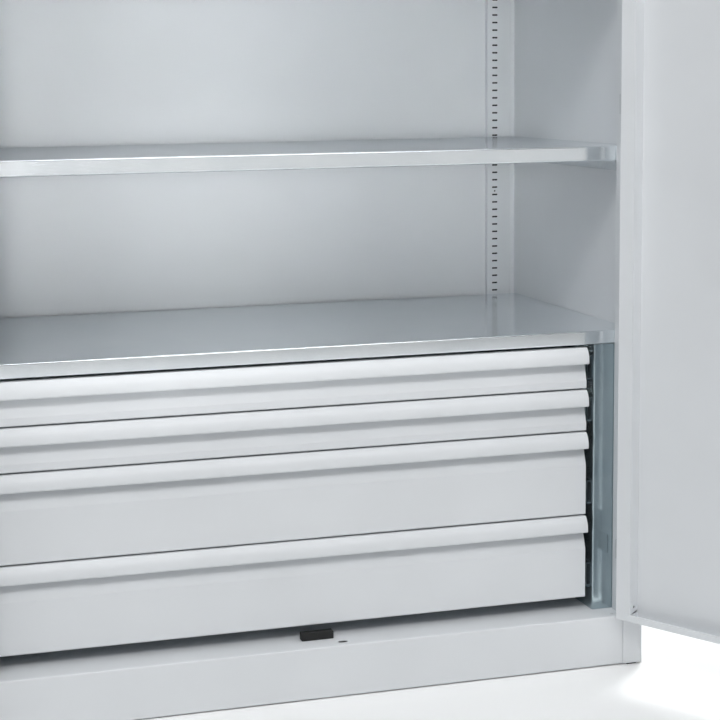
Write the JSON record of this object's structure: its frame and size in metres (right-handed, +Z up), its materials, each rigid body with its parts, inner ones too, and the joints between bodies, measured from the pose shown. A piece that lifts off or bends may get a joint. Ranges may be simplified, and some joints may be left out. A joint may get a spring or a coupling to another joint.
{
  "type": "storage cabinet",
  "caption": "Heavy-duty steel storage cabinet with hinged doors, adjustable shelves and a block of drawers on telescopic runners.",
  "frame": {"origin": "on the floor under the centre foot, midway between the side walls and midway between the front of the plinth and the back sheet", "axes": "+X to the right as seen from the front, +Y to the back, +Z up; the doors and drawers are at the front, towards -Y"},
  "size_m": [1.7032, 1.1293, 1.95],
  "materials": {
    "carcass_paint": "light grey powder coat, satin",
    "door_paint": "light grey powder coat, satin",
    "drawer_paint": "light grey powder coat, satin",
    "shelf_galvanised": "galvanised sheet, soft sheen",
    "housing_galvanised": "galvanised sheet, soft sheen",
    "tray_galvanised": "galvanised sheet, soft sheen",
    "lock_case_galvanised": "galvanised sheet, soft sheen",
    "runner_zinc": "bright zinc plate",
    "hanger_zinc": "bright zinc plate",
    "hinge_zinc": "bright zinc plate",
    "lock_zinc": "bright zinc plate",
    "handle_plastic": "black moulded plastic",
    "foot_plastic": "black moulded plastic",
    "stop_rubber": "black moulded rubber"
  },
  "bodies": {
    "cabinet": {"back_panel": "carcass_paint", "base_panel": "carcass_paint", "centre_rail": "carcass_paint", "cover_shelf": "shelf_galvanised", "foot_centre": "foot_plastic", "foot_front_left": "foot_plastic", "foot_front_right": "foot_plastic", "foot_rear_left": "foot_plastic", "foot_rear_right": "foot_plastic", "hanger_lower_left": "hanger_zinc", "hanger_lower_right": "hanger_zinc", "hanger_middle_left": "hanger_zinc", "hanger_middle_right": "hanger_zinc", "hanger_upper_left": "hanger_zinc", "hanger_upper_right": "hanger_zinc", "hinge_pin_left_lower": "hinge_zinc", "hinge_pin_left_middle": "hinge_zinc", "hinge_pin_left_upper": "hinge_zinc", "hinge_pin_right_lower": "hinge_zinc", "hinge_pin_right_middle": "hinge_zinc", "hinge_pin_right_upper": "hinge_zinc", "housing_side_left": "housing_galvanised", "housing_side_right": "housing_galvanised", "housing_tie": "housing_galvanised", "rear_plinth": "carcass_paint", "rear_upright_left": "carcass_paint", "rear_upright_right": "carcass_paint", "shelf_lower": "shelf_galvanised", "shelf_middle": "shelf_galvanised", "shelf_upper": "shelf_galvanised", "side_panel_left": "carcass_paint", "side_panel_right": "carcass_paint", "stop_block": "stop_rubber", "top_panel": "carcass_paint"},
    "door_left": {"door_left": "door_paint", "meeting_strip": "door_paint"},
    "door_right": {"door_right": "door_paint", "lock_case": "lock_case_galvanised", "handle_plate": "handle_plastic"},
    "handle": {"door_handle": "handle_plastic", "lock_cam": "lock_zinc"},
    "rod_upper": {"lock_rod_upper": "lock_zinc"},
    "rod_lower": {"lock_rod_lower": "lock_zinc"},
    "drawer_1": {"drawer_front_1": "drawer_paint", "drawer_tray_1": "tray_galvanised"},
    "runners_1": {"runner_left_1": "runner_zinc", "runner_right_1": "runner_zinc"},
    "drawer_2": {"drawer_front_2": "drawer_paint", "drawer_tray_2": "tray_galvanised"},
    "runners_2": {"runner_left_2": "runner_zinc", "runner_right_2": "runner_zinc"},
    "drawer_3": {"drawer_front_3": "drawer_paint", "drawer_tray_3": "tray_galvanised"},
    "runners_3": {"runner_left_3": "runner_zinc", "runner_right_3": "runner_zinc"},
    "drawer_4": {"drawer_front_4": "drawer_paint", "drawer_tray_4": "tray_galvanised"},
    "runners_4": {"runner_left_4": "runner_zinc", "runner_right_4": "runner_zinc"}
  },
  "joints": [
    {"name": "door_right_hinge", "type": "hinge", "parent": "cabinet", "child": "door_right", "pos_m": [0.5624, -0.2965, 0], "axis": [0, 0, 1], "range_deg": [-121, 50]},
    {"name": "door_left_hinge", "type": "hinge", "parent": "cabinet", "child": "door_left", "pos_m": [-0.5624, -0.2965, 0], "axis": [0, 0, -1], "range_deg": [-121, 50]},
    {"name": "handle_turn", "type": "hinge", "parent": "door_right", "child": "handle", "pos_m": [0.82004, -0.73306, 0.999], "axis": [-0.8572, -0.515, 0], "range_deg": [0, 90]},
    {"name": "rod_upper_slide", "type": "slide", "parent": "door_right", "child": "rod_upper", "axis": [0, 0, 1], "range_m": [0, 0.015]},
    {"name": "rod_lower_slide", "type": "slide", "parent": "door_right", "child": "rod_lower", "axis": [0, 0, -1], "range_m": [0, 0.015]},
    {"name": "drawer_1_slide", "type": "slide", "parent": "cabinet", "child": "drawer_1", "axis": [0, -1, 0], "range_m": [0, 0.45]},
    {"name": "runners_1_slide", "type": "slide", "parent": "cabinet", "child": "runners_1", "axis": [0, -1, 0], "range_m": [0, 0.225]},
    {"name": "drawer_2_slide", "type": "slide", "parent": "cabinet", "child": "drawer_2", "axis": [0, -1, 0], "range_m": [0, 0.45]},
    {"name": "runners_2_slide", "type": "slide", "parent": "cabinet", "child": "runners_2", "axis": [0, -1, 0], "range_m": [0, 0.225]},
    {"name": "drawer_3_slide", "type": "slide", "parent": "cabinet", "child": "drawer_3", "axis": [0, -1, 0], "range_m": [0, 0.45]},
    {"name": "runners_3_slide", "type": "slide", "parent": "cabinet", "child": "runners_3", "axis": [0, -1, 0], "range_m": [0, 0.225]},
    {"name": "drawer_4_slide", "type": "slide", "parent": "cabinet", "child": "drawer_4", "axis": [0, -1, 0], "range_m": [0, 0.45]},
    {"name": "runners_4_slide", "type": "slide", "parent": "cabinet", "child": "runners_4", "axis": [0, -1, 0], "range_m": [0, 0.225]}
  ],
  "couplings": [
    {"joint": "rod_upper_slide", "follows": "handle_turn", "m_per_rad": 0.009549},
    {"joint": "rod_lower_slide", "follows": "handle_turn", "m_per_rad": 0.009549},
    {"joint": "runners_1_slide", "follows": "drawer_1_slide", "ratio": 0.5},
    {"joint": "runners_2_slide", "follows": "drawer_2_slide", "ratio": 0.5},
    {"joint": "runners_3_slide", "follows": "drawer_3_slide", "ratio": 0.5},
    {"joint": "runners_4_slide", "follows": "drawer_4_slide", "ratio": 0.5}
  ]
}
